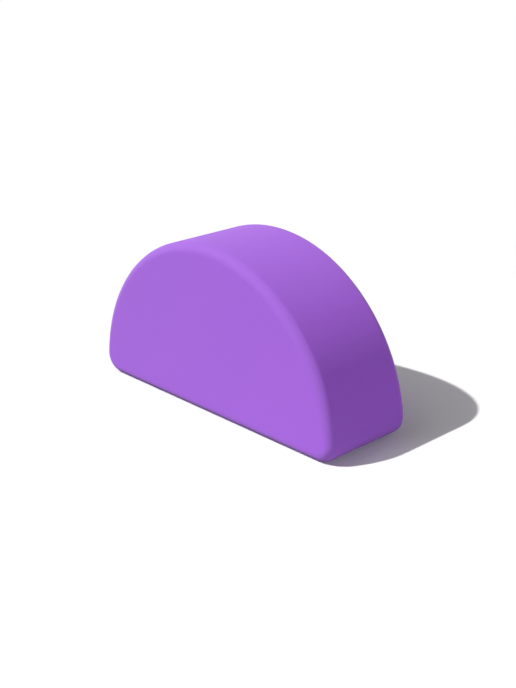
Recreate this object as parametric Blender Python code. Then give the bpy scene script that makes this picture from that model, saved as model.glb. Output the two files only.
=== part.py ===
"""A half-moon yoga block: two slabs of closed-cell foam, cut to one outline and glued together.

The block stands on its flat base. X runs along its length, Y through its thickness and Z up.
The origin is the middle of the base. All lengths are in metres.
"""

import math

import bmesh
import bpy

# Overall size of the D-shaped outline
LENGTH = 0.245
HEIGHT = 0.125

# Each slab, from the middle of the glue line to its own D-shaped face
FRONT_SLAB_THICKNESS = 0.038
REAR_SLAB_THICKNESS = 0.038

# Rounding: where the arch runs into the base, and round the rim of each D-shaped face
CORNER_RADIUS = 0.014
RIM_RADIUS = 0.007

# The film of glue between the slabs, held back from the outline so that none squeezes out
GLUE_THICKNESS = 0.0004
GLUE_SETBACK = 0.0008
GLUE_CLEARANCE = 0.0003

# How finely the curves are divided
ARCH_SEGMENTS = 96
CORNER_SEGMENTS = 12
RIM_SEGMENTS = 8
SMOOTH_BELOW = math.radians(30)
SAME_POINT = 1e-6

# Colours as linear red, green and blue
FOAM_COLOUR = (0.30, 0.05, 0.67)
FOAM_ROUGHNESS = 0.62
GLUE_COLOUR = (0.62, 0.55, 0.70)
GLUE_ROUGHNESS = 0.35


def clear_scene():
    for thing in list(bpy.data.objects):
        bpy.data.objects.remove(thing)


def make_material(name, colour, roughness):
    material = bpy.data.materials.new(name)
    material.use_nodes = True
    shader = material.node_tree.nodes["Principled BSDF"]
    shader.inputs["Base Color"].default_value = (*colour, 1.0)
    shader.inputs["Roughness"].default_value = roughness
    shader.inputs["Metallic"].default_value = 0.0
    return material


def arc_points(centre, radius, start, end, segments):
    """Points (x, z) along an arc, both ends included; angles are anticlockwise from +X."""
    points = []
    for step in range(segments + 1):
        angle = start + (end - start) * step / segments
        x = centre[0] + radius * math.cos(angle)
        z = centre[1] + radius * math.sin(angle)
        points.append((x, z))
    return points


def without_repeats(points):
    """The closed run of points, less each one that lies where the point before it does."""
    kept = []
    for i, point in enumerate(points):
        if math.dist(point, points[i - 1]) > SAME_POINT:
            kept.append(point)
    return kept


def block_outline(inset=0.0):
    """Points (x, z) round the D, anticlockwise from the right-hand end of the base.

    Three arcs and the base line, each running smoothly into the next. Both corner arcs stand on
    the base and reach out to the ends of the block. The arch is the circle under the crown that
    touches both of them from outside: with half length a, height h and corner radius r, its
    radius is ((a - r)^2 + (h - r)^2 - r^2) / (2 (h - 2 r)). A block taller than a half circle
    has a half-circle arch instead, over straight upright ends. An inset draws the same D that
    much inside the full one.
    """
    half_length = LENGTH / 2 - inset
    base = inset
    crown = HEIGHT - inset
    corner = max(CORNER_RADIUS - inset, SAME_POINT)
    height = crown - base

    reach = half_length - corner
    rise = height - corner
    arch = half_length
    if rise < half_length:
        arch = (reach**2 + rise**2 - corner**2) / (2 * (height - 2 * corner))
    arch_centre = (0.0, crown - arch)
    corner_top = max(math.atan2(base + corner - arch_centre[1], reach), 0.0)

    right = arc_points((reach, base + corner), corner, -math.pi / 2, corner_top, CORNER_SEGMENTS)
    over = arc_points(arch_centre, arch, corner_top, math.pi - corner_top, ARCH_SEGMENTS)
    left = [(-x, z) for x, z in reversed(right)]
    return without_repeats(right + over + left)


def loft(stations):
    """A closed shape through D outlines that stand across Y, each given as (y, inset).

    Every outline has as many points as the next, at the same angles on the same arcs, so the
    strips between them are flat. The first and the last are filled in.
    """
    mesh = bmesh.new()
    rings = []
    for y, inset in stations:
        rings.append([mesh.verts.new((x, y, z)) for x, z in block_outline(inset)])
    for near, far in zip(rings, rings[1:]):
        for i in range(len(near)):
            mesh.faces.new((near[i - 1], near[i], far[i], far[i - 1]))
    mesh.faces.new(rings[0])
    mesh.faces.new(rings[-1])
    return mesh


def finish_object(name, mesh, material):
    """Turn the worked-out shape into a named object with smooth curves and crisp edges."""
    bmesh.ops.recalc_face_normals(mesh, faces=mesh.faces[:])
    data = bpy.data.meshes.new(name)
    mesh.to_mesh(data)
    mesh.free()
    data.materials.append(material)
    data.shade_smooth()
    data.set_sharp_from_angle(angle=SMOOTH_BELOW)
    made = bpy.data.objects.new(name, data)
    bpy.context.scene.collection.objects.link(made)
    return made


def foam_slab(name, side, thickness, material):
    """One half of the block: straight out from the glue line, then over the rounded rim.

    side is -1 for the slab at the front and +1 for the one at the back. The rounding has to stay
    within the slab's own thickness and inside the corner arcs.
    """
    glued_face = GLUE_THICKNESS / 2 + GLUE_CLEARANCE
    rim = min(RIM_RADIUS, 0.95 * CORNER_RADIUS, 0.95 * (thickness - glued_face))
    stations = [(side * glued_face, 0.0)]
    for step in range(RIM_SEGMENTS + 1):
        turn = math.pi / 2 * step / RIM_SEGMENTS
        y = thickness - rim + rim * math.sin(turn)
        stations.append((side * y, rim - rim * math.cos(turn)))
    return finish_object(name, loft(stations), material)


def glue_film(name, material):
    """The thin sheet of glue that joins the slabs, a little smaller than they are."""
    half = GLUE_THICKNESS / 2
    return finish_object(name, loft([(-half, GLUE_SETBACK), (half, GLUE_SETBACK)]), material)


def build_block():
    clear_scene()
    front_foam = make_material("front_foam", FOAM_COLOUR, FOAM_ROUGHNESS)
    rear_foam = make_material("rear_foam", FOAM_COLOUR, FOAM_ROUGHNESS)
    glue = make_material("glue", GLUE_COLOUR, GLUE_ROUGHNESS)
    foam_slab("front_slab", -1, FRONT_SLAB_THICKNESS, front_foam)
    foam_slab("rear_slab", +1, REAR_SLAB_THICKNESS, rear_foam)
    glue_film("glue_film", glue)


build_block()
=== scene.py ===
"""A half-moon yoga block of purple closed-cell foam, standing on a pale studio floor.

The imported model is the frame: two foam slabs, and the film of glue between them. Each slab is
drawn here again as one fine surface over its own solid, and the film keeps its solid. X runs
along the block, Y through its thickness towards the rear slab, and Z up from its base. All
lengths are in metres.
"""

import math

import bpy
import numpy as np
from mathutils import Matrix, Vector


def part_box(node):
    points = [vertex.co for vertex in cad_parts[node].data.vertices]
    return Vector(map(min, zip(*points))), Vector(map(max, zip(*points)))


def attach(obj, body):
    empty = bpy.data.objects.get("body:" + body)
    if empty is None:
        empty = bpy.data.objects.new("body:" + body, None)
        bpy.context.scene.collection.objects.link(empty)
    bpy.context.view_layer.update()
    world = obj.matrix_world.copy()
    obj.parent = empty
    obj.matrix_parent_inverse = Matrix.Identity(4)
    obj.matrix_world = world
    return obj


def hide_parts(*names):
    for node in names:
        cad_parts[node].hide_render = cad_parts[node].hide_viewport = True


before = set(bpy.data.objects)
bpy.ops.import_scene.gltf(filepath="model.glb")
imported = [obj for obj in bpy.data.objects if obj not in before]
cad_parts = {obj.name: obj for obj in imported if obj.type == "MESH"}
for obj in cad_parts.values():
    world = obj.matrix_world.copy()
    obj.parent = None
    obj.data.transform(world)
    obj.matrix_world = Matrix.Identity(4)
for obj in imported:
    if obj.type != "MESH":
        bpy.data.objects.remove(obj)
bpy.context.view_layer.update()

# The D-shaped outline of the block, from the solids; its two roundings are the part's own
SLAB_LOW, SLAB_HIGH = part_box("front_slab")
HALF_LENGTH = (SLAB_HIGH.x - SLAB_LOW.x) / 2
HEIGHT = SLAB_HIGH.z - SLAB_LOW.z
CORNER_RADIUS = 0.014
RIM_RADIUS = 0.007

# The glued joint. The slabs are bedded on the film and close round its edge in a narrow lip
BED_GAP = 0.00025
LIP_GAP = 0.000002
LIP_WIDTH = 0.0005
LIP_ROUNDING = 0.000015

# Single rings at the joint: how far up the slope from lip to bed, how far across the flat of
# the lip from its edge, and how far out from the lip's rounding, in roundings
SLOPE_RING = 0.4
FLAT_RING = 0.5
PAST_LIP_RINGS = (1.0, 3.0, 8.0)

# How finely a slab's surface is divided, round the outline and from joint to outer face
BASE_STEPS = 92
CORNER_STEPS = 22
ARCH_STEPS = 184
LIP_STEPS = 5
SIDE_STEPS = 26
RIM_STEPS = 18
FACE_STEPS = 28

# Slow unevenness of a cut block: it lies at most this far under the true surface
UNEVEN_DEPTH = 0.00010
UNEVEN_WAVES = 9
UNEVEN_LENGTHS = (0.028, 0.075)
UNEVEN_SEED = 41

# What the two shared effects have in common in every material. Noise strays about a quarter
# from its middle value, so the gain takes the tone about as far as its amount says. A pit lies
# where two cells meet, between these distances from their middles, in cell sizes
DRIFT_GAIN = 4.0
DRIFT_NOISE = {"Detail": 3.0, "Roughness": 0.45}
GRAIN_NOISE = {"Detail": 2.0}
PIT_RANGE = {"From Min": 0.55, "From Max": 0.95}

# Foam. Colours are linear, here and below
FOAM_TONE = {"Colour": (0.337, 0.0455, 0.714, 1.0), "Patch Size": 0.035, "Amount": 0.010}
FOAM_GRAIN = {"Cell Size": 0.00035, "Grain Size": 0.0024, "Cell Share": 0.6}
FOAM_RELIEF = {"Strength": 0.55, "Distance": 0.0001}
# A worn grey on the rim, which also paints shade over the rim's light band
FOAM_RIM_WEAR_AND_SHADE = (0.36, 0.36, 0.34, 1.0)
FOAM_RIM_WEAR_AND_SHADE_SHARE = 0.08
# A dark purple painted into the pits between cells as shade
FOAM_PIT_SHADE = (0.16, 0.02, 0.42, 1.0)
FOAM_PIT_SHADE_SHARE = 0.22
FOAM_ROUGHNESS = 0.55
FOAM_ROUGHER_ON_CELLS = 0.10
FOAM_FINISH = {
    "Diffuse Roughness": 0.35,
    "Specular IOR Level": 0.05,
    "Sheen Weight": 0.22,
    "Sheen Roughness": 1.0,
}

# Set glue
GLUE_TONE = {"Colour": (0.62, 0.55, 0.70, 1.0), "Patch Size": 0.012, "Amount": 0.05}
GLUE_GRAIN = {"Cell Size": 0.0005, "Grain Size": 0.006, "Cell Share": 0.35}
GLUE_RELIEF = {"Strength": 0.4, "Distance": 0.0001}
GLUE_ROUGHNESS = 0.32
GLUE_ROUGHER_IN_PITS = 0.2

# Floor: white where it is looked at, grey in the light it sends back, and beyond these two
# distances from the middle of the block a white that needs no lamp
WHITE = (1.0, 1.0, 1.0, 1.0)
BLACK = (0.0, 0.0, 0.0, 1.0)
FLOOR_HALF_WIDTH = 9.0
PAPER_TONE = {"Colour": WHITE, "Patch Size": 0.15, "Amount": 0.002}
PAPER_GRAIN = {"Cell Size": 0.0012, "Grain Size": 0.004, "Cell Share": 0.2}
PAPER_RELIEF = {"Strength": 0.05, "Distance": 0.0001}
PAPER_BOUNCE = (0.35, 0.35, 0.35, 1.0)
PAPER_FINISH = {"Roughness": 0.9, "Specular IOR Level": 0.0, "Emission Strength": 1.0}
WHITE_FROM = 0.28
WHITE_BEYOND = 0.50

# Lights. A soft box is given by its name, azimuth, elevation, distance, width and brightness
KEY_AZIMUTH = -34.09
KEY_ELEVATION = 46.55
KEY_LIGHT = 1.03
KEY_SPREAD = 1.3
ROOM_LIGHT = 0.108
SOFT_BOXES = (
    ("fill", 70.0, 16.0, 1.5, 0.8, 3.3),
    ("high", -42.0, 60.0, 2.0, 1.2, 1.29),
    ("back", 190.0, 5.5, 1.5, 0.26, 16.0),
)

# Camera
VIEW_AIM = Vector((0.0140, 0.0, 0.0475))
VIEW_AZIMUTH = 47.528
VIEW_ELEVATION = 20.950
VIEW_ROLL = -0.873
VIEW_DISTANCE = 0.8122
VIEW_LENS = 59.34
SENSOR_LONG_SIDE = 36.0


def direction(azimuth, elevation):
    """The unit vector from the block towards a place: azimuth 0 is -Y, and 90 is +X."""
    turn = math.radians(azimuth)
    lift = math.radians(elevation)
    level = math.cos(lift)
    return Vector((math.sin(turn) * level, -math.cos(turn) * level, math.sin(lift)))


def place_camera():
    """Stand the camera off the aim along its azimuth and elevation, then roll it on its axis."""
    back = direction(VIEW_AZIMUTH, VIEW_ELEVATION)
    turn = math.radians(VIEW_AZIMUTH)
    right = Vector((math.cos(turn), math.sin(turn), 0.0))
    up = back.cross(right)
    roll = math.radians(VIEW_ROLL)
    rolled_right = math.cos(roll) * right + math.sin(roll) * up
    rolled_up = math.cos(roll) * up - math.sin(roll) * right
    data = bpy.data.cameras.new("view")
    data.lens = VIEW_LENS
    data.sensor_width = SENSOR_LONG_SIDE
    camera = bpy.data.objects.new("view", data)
    axes = Matrix((rolled_right, rolled_up, back)).transposed()
    camera.matrix_world = Matrix.Translation(VIEW_AIM + VIEW_DISTANCE * back) @ axes.to_4x4()
    bpy.context.scene.collection.objects.link(camera)
    bpy.context.scene.camera = camera


def outline():
    """Points round the D and the outward normal at each, as two arrays of (x, z).

    Anticlockwise from the right-hand end of the base's flat: a corner arc, the arch, the other
    corner arc, and the base. The arch is the circle under the crown that touches both corner
    circles from outside: with half length a, height h and corner radius r, its radius is
    ((a - r)^2 + (h - r)^2 - r^2) / (2 (h - 2 r)).
    """
    reach = HALF_LENGTH - CORNER_RADIUS
    rise = HEIGHT - CORNER_RADIUS
    arch = (reach**2 + rise**2 - CORNER_RADIUS**2) / (2 * (HEIGHT - 2 * CORNER_RADIUS))
    arch_height = HEIGHT - arch
    meet = math.atan2(CORNER_RADIUS - arch_height, reach)

    right = np.linspace(-math.pi / 2, meet, CORNER_STEPS, endpoint=False)
    over = np.linspace(meet, math.pi - meet, ARCH_STEPS, endpoint=False)
    left = np.linspace(math.pi - meet, 1.5 * math.pi, CORNER_STEPS, endpoint=False)
    angles = np.concatenate([right, over, left])
    centre_x = np.repeat([reach, 0.0, -reach], [CORNER_STEPS, ARCH_STEPS, CORNER_STEPS])
    radius = np.where(centre_x == 0.0, arch, CORNER_RADIUS)
    centre_z = np.where(centre_x == 0.0, arch_height, CORNER_RADIUS)
    normals = np.stack([np.cos(angles), np.sin(angles)], axis=1)
    curved = np.stack([centre_x, centre_z], axis=1) + radius[:, None] * normals

    base_x = np.linspace(-reach, reach, BASE_STEPS, endpoint=False)
    base = np.stack([base_x, np.zeros(BASE_STEPS)], axis=1)
    base_normals = np.tile([0.0, -1.0], (BASE_STEPS, 1))
    return np.concatenate([curved, base]), np.concatenate([normals, base_normals])


def slab_profile(thickness):
    """One row per ring of a slab, from the joint outwards, as five arrays.

    Each ring is the outline set in by `inset` along its normal, then shrunk towards the middle
    of the D by `shrink`, and stood at depth `depth` from the joint. `turn` is how far the
    surface there has turned from facing outwards, 0, to facing along Y, a quarter turn, with a
    minus sign inside the joint. The lip's edge and the rim are quarter circles: at a turn t and
    with a radius r, inset is r (1 - cos t) and depth grows by r sin t. `rim` is sin 2t on the
    rim, so 1 in its middle, and 0 elsewhere.
    """
    quarter = math.pi / 2
    slope = SLOPE_RING * BED_GAP
    step_inset = np.array([LIP_WIDTH + slope, LIP_WIDTH, FLAT_RING * LIP_WIDTH])
    step_depth = np.array([slope, LIP_GAP, LIP_GAP])

    lip_turn = np.linspace(-quarter, 0, LIP_STEPS)
    lip_inset = LIP_ROUNDING * (1 - np.cos(lip_turn))
    lip_depth = LIP_GAP + LIP_ROUNDING * (1 + np.sin(lip_turn))

    side_start = LIP_GAP + LIP_ROUNDING
    side_end = thickness - RIM_RADIUS
    past_lip = side_start + np.array(PAST_LIP_RINGS) * LIP_ROUNDING
    side_rest = np.linspace(past_lip[-1], side_end, SIDE_STEPS)[1:-1]
    side_depth = np.concatenate([past_lip, side_rest])

    rim_turn = np.linspace(0, quarter, RIM_STEPS)
    rim_inset = RIM_RADIUS * (1 - np.cos(rim_turn))
    rim_depth = side_end + RIM_RADIUS * np.sin(rim_turn)

    face_shrink = np.linspace(0, 1, FACE_STEPS + 1)
    bed_shrink = np.linspace(1, 0, FACE_STEPS + 1)

    # Bed, slope and flat of the lip, its edge, side, rim and outer face, each as inset, depth,
    # turn and shrink; what is given once holds all over its stretch
    stretches = [
        (LIP_WIDTH + BED_GAP, BED_GAP, -quarter, bed_shrink[1:]),
        (step_inset, step_depth, -quarter, 0.0),
        (lip_inset, lip_depth, lip_turn, 0.0),
        (0.0, side_depth, 0.0, 0.0),
        (rim_inset, rim_depth, rim_turn, 0.0),
        (RIM_RADIUS, thickness, quarter, face_shrink[1:-1]),
    ]
    rows = [np.stack(np.broadcast_arrays(*stretch)) for stretch in stretches]
    inset, depth, turn, shrink = np.concatenate(rows, axis=1)
    rim = np.where(turn > 0, np.sin(2 * np.clip(turn, 0, quarter)), 0)
    return inset, depth, turn, shrink, rim


def unevenness(points):
    """From 0 to 1 at each point: the mean of a few plane waves, each a sine of its own
    direction, wavelength and start, halved and raised so that it never falls below 0."""
    chance = np.random.default_rng(UNEVEN_SEED)
    directions = chance.normal(size=(UNEVEN_WAVES, 3))
    directions /= np.linalg.norm(directions, axis=1, keepdims=True)
    lengths = chance.uniform(*UNEVEN_LENGTHS, UNEVEN_WAVES)
    starts = chance.uniform(0, 2 * math.pi, UNEVEN_WAVES)
    phases = points @ (2 * math.pi * directions / lengths[:, None]).T + starts
    return 0.5 + 0.5 * np.sin(phases).mean(axis=-1)


def closed_skin(name, rings, first, last, flip):
    """A mesh over rings of points, each ring joined to the next, with a point closing each end.

    rings has the shape (rings, points round a ring, 3). flip turns every face the other way.
    """
    count, around = rings.shape[:2]
    grid = np.arange(count * around).reshape(count, around)
    beside = np.roll(grid, -1, axis=1)
    quads = np.stack([grid[:-1], beside[:-1], beside[1:], grid[1:]], axis=-1).reshape(-1, 4)
    start = np.full(around, count * around)
    fan_in = np.stack([beside[0], grid[0], start], axis=1)
    fan_out = np.stack([grid[-1], beside[-1], start + 1], axis=1)
    fans = np.concatenate([fan_in, fan_out])
    if flip:
        quads = quads[:, ::-1]
        fans = fans[:, ::-1]
    points = np.concatenate([rings.reshape(-1, 3), [first, last]])
    mesh = bpy.data.meshes.new(name)
    mesh.from_pydata(points.tolist(), [], quads.tolist() + fans.tolist())
    mesh.shade_smooth()
    return mesh


def foam_slab(name, node, material):
    """One slab of the block, closed all over, in the place of its solid.

    A point of it is the outline's point, less the inset along the outline's normal, shrunk
    towards the middle of the D, and stood at its depth from the joint. Outside the joint, it
    then sinks along its own normal by the slow unevenness of the cut, less so the more it faces
    down, so that the base stands flat on the floor.
    """
    low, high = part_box(node)
    side = -1.0 if low.y + high.y < 0 else 1.0
    inset, depth, turn, shrink, rim = slab_profile(max(-low.y, high.y))
    edge, edge_normal = outline()
    middle = np.array([0.0, HEIGHT / 2])

    flat = edge[None] - inset[:, None, None] * edge_normal[None]
    flat += shrink[:, None, None] * (middle - flat)
    across = np.broadcast_to(side * depth[:, None], flat.shape[:2])
    rings = np.stack([flat[..., 0], across, flat[..., 1]], axis=-1)

    level = np.cos(turn)[:, None, None] * edge_normal[None]
    outward = np.broadcast_to(side * np.sin(turn)[:, None], flat.shape[:2])
    normals = np.stack([level[..., 0], outward, level[..., 1]], axis=-1)
    not_down = 1 - np.clip(-normals[..., 2], 0, 1)
    sunk = UNEVEN_DEPTH * unevenness(rings) * not_down * (turn >= 0)[:, None]
    rings = rings - sunk[..., None] * normals

    first = np.array([middle[0], side * depth[0], middle[1]])
    last = np.array([middle[0], rings[-1, :, 1].mean(), middle[1]])
    mesh = closed_skin(name, rings, first, last, flip=side > 0)
    # The rim's mask, for its wear and for the shade painted over its light band
    worn_and_shaded = np.concatenate([np.repeat(rim, len(edge)), [0.0, 0.0]])
    mesh.attributes.new("rim", "FLOAT", "POINT").data.foreach_set("value", worn_and_shaded)
    mesh.materials.append(material)
    slab = bpy.data.objects.new(name, mesh)
    bpy.context.scene.collection.objects.link(slab)
    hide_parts(node)
    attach(slab, "root")


def add(tree, kind, inputs=None, **settings):
    """Add a node. Its inputs are given by name or number, as values or as sockets to link."""
    made = tree.nodes.new(kind)
    for name, value in settings.items():
        setattr(made, name, value)
    for name, value in (inputs or {}).items():
        if isinstance(value, bpy.types.NodeSocket):
            tree.links.new(value, made.inputs[name])
        else:
            made.inputs[name].default_value = value
    return made


def sums(tree, operation, *values):
    """The output of a Math node over the given values or sockets."""
    return add(tree, "ShaderNodeMath", dict(enumerate(values)), operation=operation).outputs[0]


def blend(tree, factor, first, second):
    """The colour that lies between two others, by the factor."""
    made = add(tree, "ShaderNodeMix", {0: factor, 6: first, 7: second}, data_type="RGBA")
    return made.outputs[2]


def new_group(name, inputs, outputs):
    """An empty node group, with its input and output nodes. Sockets are (name, kind, value)."""
    group = bpy.data.node_groups.new(name, "ShaderNodeTree")
    for label, kind, value in inputs:
        socket = group.interface.new_socket(label, in_out="INPUT", socket_type=kind)
        if value is not None:
            socket.default_value = value
    for label, kind in outputs:
        group.interface.new_socket(label, in_out="OUTPUT", socket_type=kind)
    given = group.nodes.new("NodeGroupInput").outputs
    result = group.nodes.new("NodeGroupOutput").inputs
    return group, given, result


def tone_drift_group():
    """A colour that drifts a little lighter and darker over the surface, in soft patches."""
    group, given, result = new_group(
        "tone_drift",
        [
            ("Vector", "NodeSocketVector", None),
            ("Colour", "NodeSocketColor", (0.8, 0.8, 0.8, 1.0)),
            ("Patch Size", "NodeSocketFloat", 0.03),
            ("Amount", "NodeSocketFloat", 0.02),
        ],
        [("Colour", "NodeSocketColor")],
    )
    scale = sums(group, "DIVIDE", 1.0, given["Patch Size"])
    place = {"Vector": given["Vector"], "Scale": scale}
    patches = add(group, "ShaderNodeTexNoise", {**place, **DRIFT_NOISE})
    centred = sums(group, "SUBTRACT", patches.outputs[0], 0.5)
    reach = sums(group, "MULTIPLY", given["Amount"], DRIFT_GAIN)
    gain = sums(group, "MULTIPLY_ADD", centred, reach, 1.0)
    drifted = add(group, "ShaderNodeVectorMath", {0: given["Colour"], 3: gain}, operation="SCALE")
    group.links.new(drifted.outputs[0], result["Colour"])
    return group


def fine_grain_group():
    """A skin of tiny cells, each a shallow dome, over a softer and slower grain."""
    group, given, result = new_group(
        "fine_grain",
        [
            ("Vector", "NodeSocketVector", None),
            ("Cell Size", "NodeSocketFloat", 0.0004),
            ("Grain Size", "NodeSocketFloat", 0.002),
            ("Cell Share", "NodeSocketFloat", 0.5),
        ],
        [("Height", "NodeSocketFloat"), ("Pits", "NodeSocketFloat")],
    )
    cell_scale = sums(group, "DIVIDE", 1.0, given["Cell Size"])
    cell_place = {"Vector": given["Vector"], "Scale": cell_scale}
    from_middle = add(group, "ShaderNodeTexVoronoi", cell_place).outputs["Distance"]
    dome = sums(group, "SUBTRACT", 1.0, sums(group, "POWER", from_middle, 2.0))

    grain_scale = sums(group, "DIVIDE", 1.0, given["Grain Size"])
    grain_place = {"Vector": given["Vector"], "Scale": grain_scale}
    grain = add(group, "ShaderNodeTexNoise", {**grain_place, **GRAIN_NOISE}).outputs[0]
    height = add(group, "ShaderNodeMix", {0: given["Cell Share"], 2: grain, 3: dome})
    group.links.new(height.outputs[0], result["Height"])

    pits = add(
        group,
        "ShaderNodeMapRange",
        {"Value": from_middle, **PIT_RANGE},
        interpolation_type="SMOOTHSTEP",
    )
    group.links.new(pits.outputs[0], result["Pits"])
    return group


def new_material(name, finish):
    """An empty material that shows one Principled BSDF of the given finish, and its tree."""
    material = bpy.data.materials.new(name)
    material.use_nodes = True
    tree = material.node_tree
    tree.nodes.clear()
    shader = add(tree, "ShaderNodeBsdfPrincipled", finish)
    add(tree, "ShaderNodeOutputMaterial", {"Surface": shader.outputs[0]})
    return material, tree, shader


def textured(tree, groups, place, tone, grain, relief):
    """What a material takes from the two shared effects at a place on its piece: the drifting
    colour, the outputs of the fine grain, and the normal that its height gives."""
    tone_drift, fine_grain = groups
    drift = add(tree, "ShaderNodeGroup", {"Vector": place, **tone}, node_tree=tone_drift)
    skin = add(tree, "ShaderNodeGroup", {"Vector": place, **grain}, node_tree=fine_grain)
    bump = add(tree, "ShaderNodeBump", {"Height": skin.outputs["Height"], **relief})
    return drift.outputs["Colour"], skin.outputs, bump.outputs[0]


def foam_material(groups):
    """Purple foam with a matt skin: fine closed cells with shade painted into the pits between
    them, a little drift in tone, and a rim worn a shade grey, a grey that also paints shade over
    the rim's light band."""
    material, tree, shader = new_material("closed_cell_foam", FOAM_FINISH)
    place = add(tree, "ShaderNodeTexCoord").outputs["Object"]
    colour, skin, normal = textured(tree, groups, place, FOAM_TONE, FOAM_GRAIN, FOAM_RELIEF)

    rim = add(tree, "ShaderNodeAttribute", attribute_name="rim").outputs["Fac"]
    # Worn grey on the rim, which also paints shade over its light band
    rim_wear_and_shade_share = sums(tree, "MULTIPLY", rim, FOAM_RIM_WEAR_AND_SHADE_SHARE)
    # Shade painted into the pits between cells
    darker = sums(tree, "MULTIPLY", skin["Pits"], FOAM_PIT_SHADE_SHARE)
    worn_and_shaded = blend(tree, rim_wear_and_shade_share, colour, FOAM_RIM_WEAR_AND_SHADE)
    pit_shaded = blend(tree, darker, worn_and_shaded, FOAM_PIT_SHADE)
    roughness = sums(
        tree, "MULTIPLY_ADD", skin["Height"], FOAM_ROUGHER_ON_CELLS, FOAM_ROUGHNESS
    )
    tree.links.new(pit_shaded, shader.inputs["Base Color"])
    tree.links.new(roughness, shader.inputs["Roughness"])
    tree.links.new(normal, shader.inputs["Normal"])
    return material


def glue_material(groups):
    """A milky film of set glue, with faint streaks and the print of the foam's cells."""
    material, tree, shader = new_material("set_glue", {})
    place = add(tree, "ShaderNodeTexCoord").outputs["Object"]
    colour, skin, normal = textured(tree, groups, place, GLUE_TONE, GLUE_GRAIN, GLUE_RELIEF)
    roughness = sums(tree, "MULTIPLY_ADD", skin["Pits"], GLUE_ROUGHER_IN_PITS, GLUE_ROUGHNESS)
    tree.links.new(colour, shader.inputs["Base Color"])
    tree.links.new(roughness, shader.inputs["Roughness"])
    tree.links.new(normal, shader.inputs["Normal"])
    return material


def seen_directly(tree):
    """1 for a ray from the camera, from a glossy surface or through a clear one, else 0."""
    path = add(tree, "ShaderNodeLightPath").outputs
    mirrored = sums(tree, "MAXIMUM", path["Is Glossy Ray"], path["Is Transmission Ray"])
    return sums(tree, "MAXIMUM", path["Is Camera Ray"], mirrored)


def floor_material(groups):
    """White paper where it is looked at, and a pale grey one in the light that it sends back.

    Away from the block and its shadow it turns into a plain white of its own, so that the
    background stays white where the lamps no longer reach.
    """
    material, tree, shader = new_material("studio_paper", PAPER_FINISH)
    place = add(tree, "ShaderNodeTexCoord").outputs["Object"]
    colour, _, normal = textured(tree, groups, place, PAPER_TONE, PAPER_GRAIN, PAPER_RELIEF)

    reach = add(tree, "ShaderNodeVectorMath", {0: place}, operation="LENGTH").outputs["Value"]
    away = add(
        tree,
        "ShaderNodeMapRange",
        {"Value": reach, "From Min": WHITE_FROM, "From Max": WHITE_BEYOND},
        interpolation_type="SMOOTHSTEP",
    )
    seen = seen_directly(tree)
    own_white = sums(tree, "MULTIPLY", seen, away.outputs[0])
    paper = blend(tree, seen, PAPER_BOUNCE, colour)
    tree.links.new(blend(tree, own_white, paper, BLACK), shader.inputs["Base Color"])
    tree.links.new(blend(tree, own_white, BLACK, WHITE), shader.inputs["Emission Color"])
    tree.links.new(normal, shader.inputs["Normal"])
    return material


def lay_floor(material):
    """A flat square of studio paper under the block, wide enough to fill any view."""
    half = FLOOR_HALF_WIDTH
    corners = [(-half, -half, 0.0), (half, -half, 0.0), (half, half, 0.0), (-half, half, 0.0)]
    mesh = bpy.data.meshes.new("floor")
    mesh.from_pydata(corners, [], [(0, 1, 2, 3)])
    mesh.materials.append(material)
    floor = bpy.data.objects.new("floor", mesh)
    bpy.context.scene.collection.objects.link(floor)


def aim_lamp(name, data, towards, distance):
    """Stand a lamp off the origin in the given direction, facing back to it."""
    lamp = bpy.data.objects.new(name, data)
    turned = towards.to_track_quat("Z", "Y").to_matrix().to_4x4()
    lamp.matrix_world = Matrix.Translation(distance * towards) @ turned
    bpy.context.scene.collection.objects.link(lamp)


def soft_box(name, azimuth, elevation, distance, width, brightness):
    """A square lamp. Its brightness is that of its face, with 1 for what looks just white."""
    box = bpy.data.lights.new(name, "AREA")
    box.shape = "SQUARE"
    box.size = width
    box.energy = math.pi * width**2 * brightness
    aim_lamp(name, box, direction(azimuth, elevation), distance)


def set_lights():
    """A key lamp far off to the front left, with a wide soft box high beside it, a soft box low
    on the right and a small one low at the back, and an even room light.

    The key's strength is the light that a surface facing it receives, with 1 for what makes
    white paper look white.
    """
    key = bpy.data.lights.new("key", "SUN")
    key.energy = math.pi * KEY_LIGHT
    key.angle = math.radians(KEY_SPREAD)
    aim_lamp("key", key, direction(KEY_AZIMUTH, KEY_ELEVATION), 1.0)
    for box in SOFT_BOXES:
        soft_box(*box)

    world = bpy.data.worlds.new("studio")
    world.use_nodes = True
    tree = world.node_tree
    tree.nodes.clear()
    seen = seen_directly(tree)
    strength = add(tree, "ShaderNodeMix", {0: seen, 2: ROOM_LIGHT, 3: 1.0}).outputs[0]
    room = add(tree, "ShaderNodeBackground", {"Color": WHITE, "Strength": strength})
    add(tree, "ShaderNodeOutputWorld", {"Surface": room.outputs[0]})
    bpy.context.scene.world = world


place_camera()
set_lights()
groups = (tone_drift_group(), fine_grain_group())
foam = foam_material(groups)
foam_slab("front_foam", "front_slab", foam)
foam_slab("rear_foam", "rear_slab", foam)
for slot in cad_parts["glue_film"].material_slots:
    slot.material = glue_material(groups)
lay_floor(floor_material(groups))

bpy.context.scene.view_settings.view_transform = "Standard"
